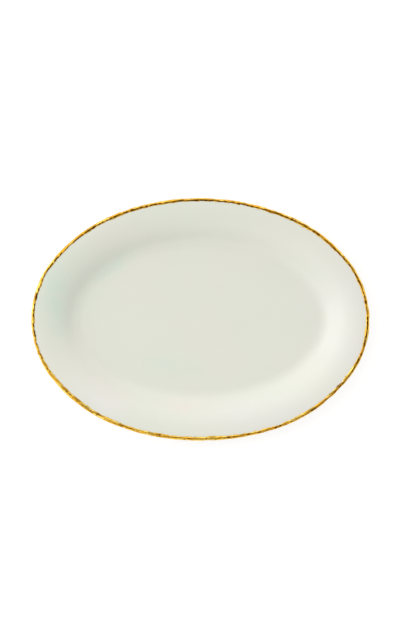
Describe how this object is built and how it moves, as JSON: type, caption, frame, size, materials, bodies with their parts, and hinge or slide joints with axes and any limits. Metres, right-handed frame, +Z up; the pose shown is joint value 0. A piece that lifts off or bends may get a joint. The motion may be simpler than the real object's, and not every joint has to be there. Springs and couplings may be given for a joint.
{
  "type": "oval serving platter",
  "caption": "Oval white china serving platter with a broad curved rim, a shallow level well, a foot ring and a hand-cut gilded edge.",
  "frame": {"origin": "under the middle of the platter, on the surface the foot ring stands on", "axes": "+X along the length, +Y across the width, +Z up from the table out of the well"},
  "size_m": [0.3563, 0.2561, 0.025],
  "materials": {
    "fired_china": "matte",
    "face_glaze": "gloss",
    "back_glaze": "gloss",
    "recess_glaze": "gloss",
    "gold": "gloss"
  },
  "bodies": {
    "root": {"china_body": "fired_china", "face_glaze": "face_glaze", "back_glaze": "back_glaze", "recess_glaze": "recess_glaze", "gilded_edge": "gold"}
  },
  "joints": []
}
